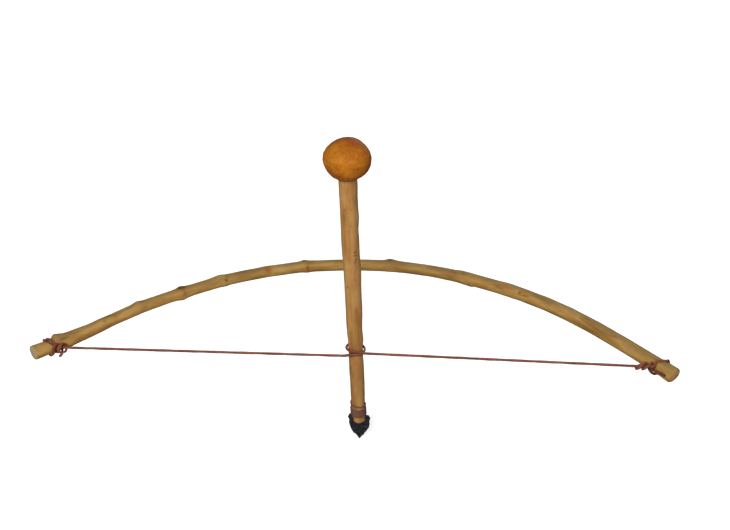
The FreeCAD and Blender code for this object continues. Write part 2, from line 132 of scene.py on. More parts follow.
# Spindle, seen from the user: height, degrees from -Y towards +X, half length, half width, darkness
SPINDLE_VOXEL = 0.55 * MM
SPINDLE_SCARS = [(0.2195, 34, 1.0, 1.1, 1.0), (0.2160, 38, 0.8, 1.5, 1.0),
                 (0.1815, -26, 1.1, 0.7, 0.9), (0.2090, 40, 4.0, 1.6, 0.35),
                 (0.1905, 22, 1.2, 1.0, 0.35), (0.1470, 74, 1.3, 1.2, 0.8),
                 (0.1245, -30, 1.0, 0.8, 0.45), (0.2640, -20, 1.6, 1.2, 0.4),
                 (0.2480, 12, 1.1, 0.8, 0.35), (0.0810, -22, 1.2, 0.7, 0.5),
                 (0.0680, 30, 0.9, 0.8, 0.5), (0.1560, 28, 0.9, 0.7, 0.4),
                 (0.2410, 160, 2.0, 1.8, 0.8), (0.0900, 170, 1.6, 1.4, 0.7),
                 (0.1870, 235, 1.8, 1.6, 0.7), (0.1340, 200, 1.4, 1.2, 0.5)]
# a swelling just above the string's turn: height, half length, degrees round the spindle
SWELLING_Z = 0.1195
SWELLING_LONG = 0.0065
SWELLING_SIDE = 85

# String
CORD_R = 1.3 * MM
CORD_SIDES = 16
KNOT_TWIST = 160.0          # radians of twist for each metre of the lace
SPAN_TWIST = 110.0
SEAM_X = 8.0 * MM           # the spans meet the turn this far out from the spindle's middle
TURN_LIFT = 1.6 * MM        # the turn rides up on the spindle, and the spans fall from it
LEFT_FALL = 2.5 * MM
RIGHT_FALL = 3.0 * MM

# Knots: places on the stave, wraps as (distance along, degrees, height off the wood), all in
# millimetres and degrees, then a hitch round the standing string
LEFT_PLACE = -0.311
LEFT_LEAD = 17.5
LEFT_WRAPS = [(-2.9, 118, 0.1), (-2.9, 225, 0.1), (-0.9, 315, 0.1), (6.4, 392, 0.2),
              (-0.1, 482, 0.2), (-0.2, 585, 0.1), (6.2, 655, 0.5)]
LEFT_COIL = [(-19.6, -52, 4.6), (-20.4, -16, 4.8), (-20.0, 22, 4.4), (-18.6, 60, 4.0),
             (-17.0, 98, 3.6), (-16.4, 140, 3.0), (-16.8, 185, 2.9), (-17.4, 230, 3.4),
             (-17.2, 272, 4.6), (-16.0, 312, 5.4), (-14.2, 350, 5.4), (-12.8, 388, 5.0),
             (-12.2, 426, 4.6), (-12.6, 466, 4.0), (-13.6, 510, 3.0), (-13.8, 556, 3.0),
             (-13.2, 602, 3.8), (-12.8, 644, 5.0), (-13.6, 682, 5.6), (-14.6, 716, 5.9),
             (-14.4, 750, 5.9), (-12.8, 786, 5.3), (-10.8, 822, 4.3), (-9.4, 862, 3.2),
             (-9.0, 905, 2.8), (-8.8, 950, 2.8), (-8.6, 995, 3.4), (-9.0, 1040, 4.6)]
LEFT_TAIL = [(-10.6, -4.6, -2.8), (-12.0, -4.2, -5.0), (-13.6, -3.4, -7.2), (-15.4, -3.0, -9.0)]
RIGHT_PLACE = 0.297
RIGHT_LEAD = 19.0
RIGHT_WRAPS = [(-6.6, 62, 0.5), (-0.8, 114, 0.1), (-1.6, 225, 0.1), (-4.8, 290, 0.1),
               (-7.4, 335, 0.1), (-9.2, 366, 0.4)]
RIGHT_COIL = [(19.5, 236, 3.4), (16.0, 200, 2.9), (12.0, 184, 2.7), (8.0, 182, 2.7),
              (4.4, 196, 2.7), (2.0, 232, 2.7), (1.4, 280, 2.7), (3.0, 330, 2.8),
              (5.8, 382, 2.9), (8.4, 430, 2.9), (10.2, 476, 3.3), (10.4, 520, 4.8),
              (9.4, 562, 5.3), (8.0, 606, 4.2), (7.4, 648, 2.9), (8.8, 694, 2.7),
              (11.6, 742, 2.8), (14.4, 788, 2.9), (16.0, 832, 3.3), (16.2, 876, 4.6),
              (15.4, 918, 4.8), (15.0, 962, 3.6), (15.8, 1004, 3.2), (17.4, 1044, 3.3)]
RIGHT_TAIL = [(-8.8, 8, 2.6), (-5.4, 13, 1.3), (-2.0, 16, 0.4), (1.6, 18, 0.1), (4.8, 19, 0.1)]

# Lashing
THONG_WIDE = 2.9 * MM
THONG_THICK = 1.4 * MM
THONG_PITCH = 2.95 * MM
THONG_START = math.radians(195)
THONG_CLOSE_TURNS = 3
THONG_LAST_CLIMB = 6.4 * MM     # the last turn leaves the close ones and is twisted narrow
THONG_LAST_WIDE = 0.58          # share of its width there


# Reading the frame


def triangles_of(node):
    mesh = frame["nodes"][node].data
    mesh.calc_loop_triangles()
    points = np.array([v.co for v in mesh.vertices])
    return points[np.array([t.vertices for t in mesh.loop_triangles])]


def slice_at(triangles, axis, place):
    """Points where a plane across an axis cuts a CAD node."""
    d = triangles[:, :, axis] - place
    found = []
    for i, j in ((0, 1), (1, 2), (2, 0)):
        crossing = d[:, i] * d[:, j] < 0
        a = triangles[crossing, i]
        b = triangles[crossing, j]
        share = d[crossing, i] / (d[crossing, i] - d[crossing, j])
        found.append(a + (b - a) * share[:, None])
    return np.vstack(found)


def mount(name):
    found = [m for m in frame["record"]["mounts"] if m["name"] == name][0]
    return np.array(found["pos_m"]), np.array(found["axis"])


def surface_of(node):
    mesh = frame["nodes"][node].data
    return BVHTree.FromPolygons([v.co for v in mesh.vertices], [p.vertices for p in mesh.polygons])


def smoothed(rows, passes):
    rows = np.array(rows, float)
    for _ in range(passes):
        rows[1:-1] = rows[1:-1] / 2 + (rows[:-2] + rows[2:]) / 4
    return rows


def resampled(points, step):
    """Even points along a line, and their distances along it."""
    lengths = np.linalg.norm(np.diff(points, axis=0), axis=1)
    places = np.concatenate([[0], np.cumsum(lengths)])
    count = int(round(places[-1] / step))
    even = np.linspace(0, places[-1], count + 1)
    columns = [np.interp(even, places, points[:, k]) for k in range(points.shape[1])]
    return np.stack(columns, 1), even


def unit(v):
    return v / np.linalg.norm(v, axis=-1, keepdims=True)


def clamp(value):
    return min(1.0, max(0.0, value))


def bell(value):
    """1 at nought, falling away smoothly past 1."""
    return math.exp(-value ** 2)


# Making meshes


def mesh_object(name, vertices, faces, smooth=True):
    mesh = bpy.data.meshes.new(name)
    mesh.from_pydata([tuple(v) for v in vertices], [], faces)
    mesh.validate()
    mesh.update()
    mesh.polygons.foreach_set("use_smooth", [smooth] * len(mesh.polygons))
    obj = bpy.data.objects.new(name, mesh)
    bpy.context.scene.collection.objects.link(obj)
    return obj


def ring_faces(rings, sides):
    """Quads between rings of points, closed round."""
    faces = []
    for i in range(rings - 1):
        for k in range(sides):
            n = (k + 1) % sides
            faces.append((i * sides + k, i * sides + n, (i + 1) * sides + n, (i + 1) * sides + k))
    return faces


def capped(faces, rings, sides):
    last = (rings - 1) * sides
    return faces + [tuple(range(sides))[::-1], tuple(range(last, last + sides))]


def paint(obj, **looks):
    """Numbers or vectors on each vertex, for the materials."""
    for name, values in looks.items():
        values = np.asarray(values, np.float32)
        is_vector = values.ndim == 2
        attribute = obj.data.attributes.new(name, "FLOAT_VECTOR" if is_vector else "FLOAT", "POINT")
        attribute.data.foreach_set("vector" if is_vector else "value", values.ravel())


def carried_frames(points, first_side):
    """Side and up vectors along a line, turned no more than the line turns."""
    tangents = unit(np.gradient(points, axis=0))
    sides = []
    side = np.array(first_side, float)
    for tangent in tangents:
        side = unit(side - tangent * (side @ tangent))
        sides.append(side)
    sides = np.array(sides)
    return tangents, sides, np.cross(tangents, sides)


def fractal(point, size, octaves=3, seed=0.0):
    """Smooth noise from -1 to 1 with features of about a size."""
    total = 0.0
    share = 1.0
    for _ in range(octaves):
        total += share * noise.noise(Vector(point) / size + Vector((seed, seed * 0.7, -seed)))
        size /= 2
        share /= 2
    return total


# Materials


class Nodes:
    """Short names for making a node material."""

    def __init__(self, name):
        self.material = bpy.data.materials.new(name)
        self.material.use_nodes = True
        self.tree = self.material.node_tree
        self.shader = self.tree.nodes["Principled BSDF"]

    def add(self, kind, inputs=None, **settings):
        node = self.tree.nodes.new(kind)
        for key, value in settings.items():
            setattr(node, key, value)
        for key, value in (inputs or {}).items():
            self.put(node.inputs[key], value)
        return node

    def put(self, socket, value):
        if isinstance(value, bpy.types.NodeSocket):
            self.tree.links.new(value, socket)
        else:
            socket.default_value = value

    def attribute(self, name, output="Fac"):
        return self.add("ShaderNodeAttribute", attribute_name=name).outputs[output]

    def stretched(self, vector, scale):
        return self.add("ShaderNodeMapping", {"Vector": vector, "Scale": scale}).outputs["Vector"]

    def noise(self, vector, scale, detail=4.0, rough=0.55, distortion=0.0):
        node = self.add("ShaderNodeTexNoise", {"Vector": vector, "Scale": scale, "Detail": detail,
                                               "Roughness": rough, "Distortion": distortion})
        return node.outputs["Fac"]

    def cells(self, vector, scale):
        node = self.add("ShaderNodeTexVoronoi", {"Vector": vector, "Scale": scale})
        return node.outputs["Distance"]

    def ramp(self, value, stops):
        node = self.add("ShaderNodeValToRGB", {"Fac": value})
        elements = node.color_ramp.elements
        while len(elements) < len(stops):
            elements.new(0.5)
        for element, (place, colour) in zip(elements, stops):
            element.position = place
            element.color = colour
        return node.outputs["Color"]

    def levels(self, value, low, high):
        """0 at low, 1 at high."""
        node = self.add("ShaderNodeMapRange", {"Value": value, "From Min": low, "From Max": high})
        return node.outputs["Result"]

    def math(self, operation, a, b=0.0):
        return self.add("ShaderNodeMath", {0: a, 1: b}, operation=operation).outputs[0]

    def share(self, value, amount):
        return self.math("MULTIPLY", value, amount)

    def mix(self, share, a, b, blend="MIX"):
        node = self.add("ShaderNodeMix", data_type="RGBA", blend_type=blend)
        self.put(node.inputs[0], share)
        self.put(node.inputs[6], a)
        self.put(node.inputs[7], b)
        return node.outputs[2]

    def bump(self, height, distance, strength=1.0, normal=None):
        node = self.add("ShaderNodeBump", {"Height": height, "Distance": distance,
                                           "Strength": strength})
        if normal is not None:
            self.put(node.inputs["Normal"], normal)
        return node.outputs["Normal"]

    def finish(self, colour, roughness, normal, **uniform):
        self.put(self.shader.inputs["Base Color"], colour)
        self.put(self.shader.inputs["Roughness"], roughness)
        self.put(self.shader.inputs["Normal"], normal)
        for key, value in uniform.items():
            self.shader.inputs[key.replace("_", " ")].default_value = value
        return self.material


def srgb(red, green, blue):
    """A colour as a screen shows it, 0 to 255, in the shader's linear numbers."""
    def linear(c):
        c /= 255
        return c / 12.92 if c <= 0.04045 else ((c + 0.055) / 1.055) ** 2.4
    return (linear(red), linear(green), linear(blue), 1.0)


def peeled_wood(name, pale, middle, dark, warm, grey, scar, sawn):
    """Peeled branch wood: faint streaks, blotches, specks and scars, and painted shade darkening one
    side.
    """
    n = Nodes(name)
    place = n.attribute("grain", "Vector")
    patch = n.noise(n.stretched(place, (32.0, 110.0, 110.0)), 1.0, 3.0, 0.5, 0.4)
    streaks = n.noise(n.stretched(place, (15.0, 430.0, 430.0)), 1.0, 4.0, 0.6, 0.3)
    fibre = n.noise(n.stretched(place, (70.0, 1500.0, 1500.0)), 1.0, 3.0, 0.65)
    blotch = n.noise(n.stretched(place, (120.0, 270.0, 270.0)), 1.0, 5.0, 0.65, 0.5)
    speck = n.noise(n.stretched(place, (420.0, 1000.0, 1000.0)), 1.0, 2.0, 0.5)
    colour = n.ramp(patch, [(0.34, dark), (0.48, middle), (0.64, pale)])
    colour = n.mix(n.share(n.levels(blotch, 0.52, 0.70), 0.6), colour, warm)
    colour = n.mix(n.share(n.levels(streaks, 0.50, 0.72), 0.5), colour, dark)
    colour = n.mix(n.share(n.levels(streaks, 0.46, 0.30), 0.35), colour, pale)
    colour = n.mix(n.share(n.levels(fibre, 0.52, 0.74), 0.4), colour, dark)
    colour = n.mix(n.share(n.levels(speck, 0.66, 0.74), 0.45), colour, scar)
    # painted shade: one side of the stick is mixed towards the darker grey colour
    colour = n.mix(n.share(n.attribute("lie"), 0.55), colour, grey)
    colour = n.mix(n.attribute("amber"), colour, srgb(168, 92, 22))
    colour = n.mix(n.attribute("stain"), colour, scar)
    rings = n.noise(n.stretched(place, (300.0, 1300.0, 1300.0)), 1.0, 2.0, 0.5)
    colour = n.mix(n.attribute("bare"), colour, n.ramp(rings, [(0.35, sawn), (0.95, pale)]))
    height = n.math("ADD", n.share(streaks, 0.5), n.share(fibre, 0.5))
    normal = n.bump(height, 0.0003, 0.5)
    normal = n.bump(blotch, 0.0004, 0.35, normal)
    return n.finish(colour, n.levels(patch, -0.75, 1.3), normal, Specular_IOR_Level=0.25)


def leather(name, pale, middle, dark, size=1.0):
    """Cut lace: creased across, scuffed paler on its high places."""
    n = Nodes(name)
    place = n.attribute("grain", "Vector")
    crease = n.noise(n.stretched(place, (900.0 / size, 260.0, 260.0)), 1.0, 4.0, 0.6, 0.8)
    long_way = n.noise(n.stretched(place, (60.0, 700.0, 700.0)), 1.0, 4.0, 0.6)
    scuff = n.noise(n.stretched(place, (130.0, 300.0, 300.0)), 1.0, 5.0, 0.65)
    colour = n.ramp(long_way, [(0.3, dark), (0.5, middle), (0.75, pale)])
    colour = n.mix(n.share(n.levels(scuff, 0.5, 0.75), 0.6), colour, pale)
    colour = n.mix(n.share(n.levels(crease, 0.52, 0.7), 0.5), colour, dark)
    colour = n.mix(n.attribute("stain"), colour, srgb(34, 20, 18))
    height = n.math("ADD", n.share(crease, 0.5), n.share(long_way, 0.7))
    return n.finish(colour, n.levels(scuff, -0.6, 1.3), n.bump(height, 0.00022, 0.7),
                    Specular_IOR_Level=0.3)


def burl_wood(name):
    """Oiled orange burl of the hand socket, clouded, with dark veins, fissures and painted shade."""
    n = Nodes(name)
    place = n.add("ShaderNodeTexCoord").outputs["Object"]
    cloud = n.noise(place, 48.0, 4.0, 0.6, 1.0)
    swirl = n.noise(n.stretched(place, (1.0, 1.0, 0.6)), 120.0, 5.0, 0.6, 1.8)
    vein = n.noise(place, 80.0, 5.0, 0.6, 2.2)
    pores = n.cells(place, 1000.0)
    colour = n.ramp(cloud, [(0.3, srgb(160, 76, 2)), (0.45, srgb(176, 98, 8)),
                            (0.58, srgb(188, 116, 22)), (0.76, srgb(196, 130, 34))])
    colour = n.mix(n.share(n.levels(swirl, 0.53, 0.68), 0.5), colour, srgb(150, 66, 2))
    lines = n.math("ABSOLUTE", n.math("SUBTRACT", vein, 0.5))
    colour = n.mix(n.share(n.levels(lines, 0.016, 0.0), 0.5), colour, srgb(126, 56, 2))
    colour = n.mix(n.share(n.levels(pores, 0.14, 0.0), 0.4), colour, srgb(106, 48, 4))
    # the stain attribute darkens the fissures, and is also painted shade on the ball's crown and right
    # side
    colour = n.mix(n.attribute("stain"), colour, srgb(120, 44, 2))
    height = n.math("ADD", n.share(swirl, 0.5), n.levels(lines, 0.0, 0.02))
    normal = n.bump(height, 0.0003, 0.5)
    return n.finish(colour, n.levels(cloud, -0.9, 1.3), normal, Specular_IOR_Level=0.18)


def flint_stone(name):
    """Black knapped flint: glassy scars with ripples, greyer on thin edges."""
    n = Nodes(name)
    place = n.add("ShaderNodeTexCoord").outputs["Object"]
    cloud = n.noise(place, 160.0, 5.0, 0.6, 0.8)
    ripple = n.noise(n.stretched(place, (1.0, 1.0, 2.6)), 420.0, 3.0, 0.5, 1.4)
    speck = n.noise(place, 1500.0, 2.0, 0.5)
    colour = n.ramp(cloud, [(0.3, srgb(8, 11, 15)), (0.55, srgb(16, 20, 26)),
                            (0.8, srgb(34, 36, 42))])
    colour = n.mix(n.levels(speck, 0.68, 0.78), colour, srgb(58, 60, 64))
    colour = n.mix(n.attribute("stain"), colour, srgb(60, 62, 66))
    normal = n.bump(ripple, 0.0003, 0.45)
    normal = n.bump(speck, 0.00006, 0.3, normal)
    return n.finish(colour, n.levels(cloud, -0.3, 1.5), normal, Specular_IOR_Level=0.4)


# Stave


def stave_line():
    """The stave's axis and the normal of its plane, from slices of the CAD node."""
    triangles = triangles_of("bow_stave")
    left, _ = mount("stave_end_left")
    right, _ = mount("stave_end_right")
    places = np.linspace(left[0] + STAVE_END_MARGIN, right[0] - STAVE_END_MARGIN, STAVE_SLICES)
    cuts = [slice_at(triangles, 0, x) for x in places]
    centres = np.array([(c.min(0) + c.max(0)) / 2 for c in cuts])
    across = np.linalg.svd(centres - centres.mean(0))[2][2]
    normal = across * np.sign(across[2])
    rows = smoothed(np.vstack([left, centres, right]), 3)
    rows, _ = resampled(rows, STAVE_RING_STEP)
    return smoothed(rows, 40), normal


stave_points, bow_normal = stave_line()
stave_tangents = unit(np.gradient(stave_points, axis=0))
stave_away = np.cross(bow_normal, stave_tangents)


def stave_direction(index, degrees):
    """Across the stave: 0 towards the string, 90 above the bow's plane."""
    a = math.radians(degrees)
    return stave_away[index] * -math.cos(a) + bow_normal * math.sin(a)


def stave_index(x):
    return int(np.argmin(np.abs(stave_points[:, 0] - x)))


def stave_reaches():
    """The CAD stave's radius for each ring and side, its facets smoothed away."""
    surface = surface_of("bow_stave")
    count = len(stave_points)
    inside = int(STAVE_RIM / STAVE_RING_STEP) + 2
    reaches = np.zeros((count, STAVE_SIDES))
    for i in range(inside, count - inside):
        for k in range(STAVE_SIDES):
            direction = stave_direction(i, 360 * k / STAVE_SIDES)
            hit = surface.ray_cast(Vector(stave_points[i]), Vector(direction))
            reaches[i, k] = hit[3]
    reaches[:inside] = reaches[inside]
    reaches[count - inside:] = reaches[count - inside - 1]
    reaches = smoothed(reaches, 12)
    for _ in range(4):
        reaches = reaches / 2 + (np.roll(reaches, 1, 1) + np.roll(reaches, -1, 1)) / 4
    return reaches


def round_gap(a, b):
    """The least angle between two directions round a stick, in degrees."""
    return (a - b + 180) % 360 - 180


def node_lift(along, around, height, before, after):
    """How far a twig's swelling lifts the wood, its distances in half widths round the stick."""
    return height * bell(along / (before if along < 0 else after)) * bell(around)


def scar_form(along, around):
    """Height and stain of a twig scar for distances in its half lengths."""
    d = math.hypot(along, around)
    collar = bell((d - 1.1) / 0.4)
    hollow = math.exp(-(d / 0.85) ** 4)
    return 0.2 * collar - 0.3 * hollow, min(1.0, 0.9 * hollow + 0.25 * collar)


def rings_near(index, reach):
    return range(max(0, index - reach), min(len(stave_points), index + reach + 1))


def on_stave(marks):
    """Marks whose first number, a place along the string, becomes the number of a ring."""
    return [(stave_index(mark[0]), *mark[1:]) for mark in marks]


def stave_surface(reaches):
    """Lifts in millimetres, stains and amber of the stave's knots, scars, flats and patches."""
    lifts = np.zeros(reaches.shape)
    stains = np.zeros(reaches.shape)
    amber = np.zeros(reaches.shape)

    def around(i, k, angle, wide):
        arc = math.radians(round_gap(360 * k / STAVE_SIDES, angle)) * reaches[i, k]
        return arc / MM / wide

    for k in range(STAVE_SIDES):
        for index, angle, height, before, after in on_stave(STAVE_NODES):
            turned = 0.0
            if angle is not None:
                turned = round_gap(360 * k / STAVE_SIDES, angle) / NODE_SPREAD
            for i in rings_near(index, 26):
                lifts[i, k] += node_lift(i - index, turned, height, before, after)
        for index, angle, long, wide, dark in on_stave(STAVE_SCARS):
            for i in rings_near(index, 14):
                rise, tone = scar_form((i - index) / long, around(i, k, angle, wide))
                lifts[i, k] += rise * min(1.0, wide / 2)
                stains[i, k] = max(stains[i, k], tone * dark)
        for index, angle, long, wide in on_stave(STAVE_FLATS):
            for i in rings_near(index, 30):
                across = around(i, k, angle, wide)
                d = math.hypot((i - index) / long, across)
                lifts[i, k] -= 0.3 * max(0.0, 1 - d * d)
                edge = bell((d - 1) / 0.16) * (0.35 + 0.65 * (across < 0))
                stains[i, k] = max(stains[i, k], 0.5 * edge)
        for index, angle, long, wide, strength in on_stave(STAVE_AMBER):
            for i in rings_near(index, 20):
                glow = strength * bell((i - index) / long) * bell(around(i, k, angle, wide))
                amber[i, k] = max(amber[i, k], glow)
    return lifts, stains, amber


def make_stave(radii, stains, amber):
    count = len(stave_points)
    length = (count - 1) * STAVE_RING_STEP
    vertices = []
    looks = {"grain": [], "lie": [], "bare": [], "stain": list(stains.ravel()),
             "amber": list(amber.ravel())}
    for i in range(count):
        s = i * STAVE_RING_STEP
        left_end = max(0.0, 1 - s / SLANT_LENGTH) * math.tan(LEFT_SLANT)
        right_end = max(0.0, 1 - (length - s) / SLANT_LENGTH) * math.tan(RIGHT_SLANT)
        worn = max(0.0, 1 - min(s, length - s) / STAVE_RIM)
        for k in range(STAVE_SIDES):
            degrees = 360 * k / STAVE_SIDES
            a = math.radians(degrees)
            radius = radii[i, k] - 0.5 * STAVE_RIM * worn ** 2
            spot = (s, radius * math.cos(a), radius * math.sin(a))
            lumps = 0.14 * fractal(spot, 0.016, 2, 3.1)
            fibres = 0.06 * fractal((s / 9, spot[1], spot[2]), 0.0022, 2, 8.3)
            slant = left_end * math.cos(math.radians(round_gap(degrees, LEFT_SLANT_SIDE)))
            slant += right_end * math.cos(math.radians(round_gap(degrees, RIGHT_SLANT_SIDE)))
            vertices.append(stave_points[i]
                            + stave_direction(i, degrees) * (radius + (lumps + fibres) * MM)
                            + stave_tangents[i] * slant * radius)
            # painted shade: the stave's upper side is mixed towards the darker grey colour
            upper = math.cos(math.radians(round_gap(degrees, 135)))
            looks["grain"].append(spot)
            looks["lie"].append(clamp(0.25 + 0.75 * upper + 0.3 * fractal(spot, 0.012, 2, 5.0)))
            looks["bare"].append(0.7 * worn if s < length / 2 else 0.0)
    faces = ring_faces(count, STAVE_SIDES)
    close_end(0, LEFT_DOME, 1.0, vertices, faces, looks)
    close_end(count - 1, RIGHT_DOME, 0.15, vertices, faces, looks)
    stave = mesh_object("stave", vertices, faces)
    for name in ("stain", "amber"):
        looks[name] = np.clip(looks[name], 0, 1)
    paint(stave, **looks)
    stave.data.materials.append(peeled_wood(
        "stave_wood", srgb(186, 146, 80), srgb(168, 126, 60), srgb(140, 102, 42),
        srgb(176, 112, 54), srgb(120, 106, 64), srgb(84, 56, 14), srgb(186, 174, 144)))
    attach(stave, "bow")
    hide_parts("bow_stave")


def close_end(end, bulge, bare, vertices, faces, looks):
    """Rings that close a sawn end in on its pith; the right end has an amber rim."""
    first = end * STAVE_SIDES
    rim = np.array(vertices[first:first + STAVE_SIDES])
    centre = rim.mean(0)
    outward = stave_tangents[end] * (1 if end else -1)
    outer = list(range(first, first + STAVE_SIDES))
    for share in (0.93, 0.84, 0.72, 0.6, 0.48, 0.36, 0.24, 0.1):
        inner = []
        for k in range(STAVE_SIDES):
            point = centre + (rim[k] - centre) * share
            dome = bulge * (1 - share ** 2) ** 0.7
            dome += 0.1 * MM * fractal(tuple(point), 0.0016, 2, 1.0)
            inner.append(len(vertices))
            vertices.append(point + outward * dome)
            spot = looks["grain"][first + k]
            looks["grain"].append((spot[0] + 0.4, spot[1] * share, spot[2] * share))
            looks["lie"].append(0.1)
            looks["stain"].append(0.4 * bell(share / 0.14))
            looks["amber"].append(bell((share - 0.9) / 0.08) if end else 0.0)
            looks["bare"].append(bare)
        for k in range(STAVE_SIDES):
            n = (k + 1) % STAVE_SIDES
            quad = (outer[k], outer[n], inner[n], inner[k])
            faces.append(quad if end else quad[::-1])
        outer = inner
    faces.append(tuple(outer) if end else tuple(outer[::-1]))


# Spindle


def remeshed_copy(node, name, voxel, relax):
    """A CAD node's form as an even mesh, with its edges a little worn."""
    obj = bpy.data.objects.new(name, frame["nodes"][node].data.copy())
    bpy.context.scene.collection.objects.link(obj)
    welded = bmesh.new()
    welded.from_mesh(obj.data)
    bmesh.ops.remove_doubles(welded, verts=welded.verts, dist=1e-6)
    welded.to_mesh(obj.data)
    welded.free()
    obj.data.materials.clear()
    remesh = obj.modifiers.new("even", "REMESH")
    remesh.mode = "VOXEL"
    remesh.voxel_size = voxel
    remesh.adaptivity = 0.0
    wear = obj.modifiers.new("wear", "SMOOTH")
    wear.factor = 0.5
    wear.iterations = relax
    shown = obj.evaluated_get(bpy.context.evaluated_depsgraph_get())
    even = bpy.data.meshes.new_from_object(shown)
    obj.modifiers.clear()
    obj.data = even
    even.name = name
    even.polygons.foreach_set("use_smooth", [True] * len(even.polygons))
    return obj


def vertex_arrays(obj):
    count = len(obj.data.vertices)
    points = np.zeros(count * 3)
    normals = np.zeros(count * 3)
    obj.data.vertices.foreach_get("co", points)
    obj.data.vertices.foreach_get("normal", normals)
    return points.reshape(-1, 3), normals.reshape(-1, 3)


def put_points(obj, points):
    obj.data.vertices.foreach_set("co", np.asarray(points).ravel())
    obj.data.update()


def spindle_marks(z, degrees, radius):
    """Lift in millimetres and stain of the spindle's twig scars at a place on it."""
    lift = 0.0
    dark = 0.0
    for height, angle, long, wide, darkness in SPINDLE_SCARS:
        along = (z - height) / MM / long
        if abs(along) < 4:
            around = math.radians(round_gap(degrees, angle)) * radius / MM / wide
            rise, tone = scar_form(along, around)
            lift += rise
            dark = max(dark, tone * darkness)
    return lift, dark


def make_spindle():
    """The CAD's spindle with the peeled stick's ripples, scars, swelling and handled end."""
    spindle = remeshed_copy("spindle", "drill_spindle", SPINDLE_VOXEL, 3)
    points, normals = vertex_arrays(spindle)
    lashing_low, lashing_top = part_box("lashing")
    socket_low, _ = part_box("hand_socket")
    moved = []
    stain = []
    lie = []
    for p, normal in zip(points, normals):
        x, y, z = p
        radius = math.hypot(x, y)
        degrees = math.degrees(math.atan2(x, -y))
        lift, dark = spindle_marks(z, degrees, radius)
        lift += 0.12 * fractal((x, y, z / 2.5), 0.006, 2, 2.2)
        lift += 0.08 * fractal((x, y, z / 14), 0.0018, 2, 6.1)
        # true to the CAD in the socket and under the lashing
        lift = min(lift, 0.25) * clamp((socket_low.z - z) / 0.004) * clamp((z - lashing_top.z) / 0.004)
        lift += bell((z - SWELLING_Z) / SWELLING_LONG) * bell(round_gap(degrees, SWELLING_SIDE) / 60)
        below = clamp((lashing_low.z - z) / 0.0015)
        inward = np.array((max(0.0, -x) * 0.2 * below, 0, 0))
        moved.append(p + normal * (lift * MM) + inward)
        # handled and scorched darker towards the bit, dark inside the split
        low = clamp((0.125 - z) / 0.07)
        dirt = 0.22 * low * (1 - below) * (0.7 + 0.8 * fractal((x, y, z / 3), 0.008, 3, 4.4))
        rubbed = 0.3 * bell((z - 0.1065) / 0.005)
        inside = 0.6 if radius < 0.0055 and z < 0.05 else 0.0
        stain.append(clamp(max(dark, dirt, rubbed, inside)))
        # painted shade: the spindle's right side, turned from the key light, is mixed towards the
        # darker grey colour
        right = math.cos(math.radians(round_gap(degrees, 95)))
        lie.append(clamp(0.1 + 0.3 * right))
    put_points(spindle, moved)
    points, _ = vertex_arrays(spindle)
    paint(spindle, grain=points[:, [2, 0, 1]], lie=lie, stain=stain)
    spindle.data.materials.append(peeled_wood(
        "spindle_wood", srgb(192, 146, 84), srgb(180, 128, 68), srgb(150, 104, 48),
        srgb(186, 120, 72), srgb(134, 96, 56), srgb(92, 54, 20), srgb(190, 160, 110)))
    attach(spindle, "drill")
    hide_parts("spindle")


# String and knots


def spline_points(route):
    """Points along the smooth line that a cord takes past the points of its route."""
    curve = bpy.data.curves.new("route", "CURVE")
    curve.dimensions = "3D"
    spline = curve.splines.new("NURBS")
    spline.points.add(len(route) - 1)
    for point, place in zip(spline.points, route):
        point.co = (*place, 1.0)
    spline.order_u = 3
    spline.use_endpoint_u = True
    spline.resolution_u = 10
    holder = bpy.data.objects.new("route", curve)
    bpy.context.scene.collection.objects.link(holder)
    bpy.context.view_layer.update()
    shown = holder.evaluated_get(bpy.context.evaluated_depsgraph_get())
    line = bpy.data.meshes.new_from_object(shown)
    points = np.array([v.co for v in line.vertices])
    bpy.data.objects.remove(holder)
    bpy.data.curves.remove(curve)
    bpy.data.meshes.remove(line)
    return points


def lace(name, route, step, twist, seed, cut_end=False):
    """A leather cord along a route: round, with a soft ridge where it was cut from the hide."""
    line, places = resampled(spline_points(route), step)
    _, sides, ups = carried_frames(line, (0.1, 0.2, 1.0))
    vertices = []
    grain = []
    stain = []
    for i, centre in enumerate(line):
        end = max(0.0, 1 - (places[-1] - places[i]) / CORD_R) if cut_end else 0.0
        for k in range(CORD_SIDES):
            a = 2 * math.pi * k / CORD_SIDES
            turned = a + twist * places[i]
            uneven = 1 + 0.06 * math.cos(2 * turned) + 0.03 * math.cos(3 * turned + 1.0)
            uneven += 0.06 * fractal((places[i], math.cos(a) * CORD_R, math.sin(a) * CORD_R),
                                     0.0035, 2, seed)
            r = CORD_R * uneven * 0.97 * (1 - 0.15 * end)
            vertices.append(centre + sides[i] * (r * math.cos(a)) + ups[i] * (r * math.sin(a)))
            grain.append((places[i] + seed, r * math.cos(a), r * math.sin(a)))
            stain.append(0.9 * end)
    faces = capped(ring_faces(len(line), CORD_SIDES), len(line), CORD_SIDES)
    obj = mesh_object(name, vertices, faces)
    paint(obj, grain=grain, stain=stain)
    obj.data.materials.append(string_leather)
    return obj, line


def wrap_route(x, wraps):
    """Points round the stave for stops of distance from a place, degrees and height off the wood."""
    rows = []
    for (u0, a0, h0), (u1, a1, h1) in zip(wraps, wraps[1:]):
        parts = max(1, round(abs(a1 - a0) / 30))
        rows += [(u0 + (u1 - u0) * k / parts, a0 + (a1 - a0) * k / parts,
                  h0 + (h1 - h0) * k / parts) for k in range(parts)]
    rows.append(wraps[-1])
    found = []
    for u, degrees, height in rows:
        i = stave_index(x + u * MM)
        wood = stave_radii[i, round(degrees / 360 * STAVE_SIDES) % STAVE_SIDES]
        reach = (wood + CORD_R) / math.cos(math.radians(15))
        found.append(stave_points[i] + stave_direction(i, degrees) * (reach + height * MM))
    return found


def hitch_route(start, direction, coil):
    """Points round the standing string: distance from its end, degrees (0 towards the user, 90
    up) and millimetres from its middle."""
    found = []
    for along, degrees, reach in coil:
        a = math.radians(degrees)
        found.append(start + np.array((direction * along, -reach * math.cos(a),
                                       reach * math.sin(a))) * MM)
    return found


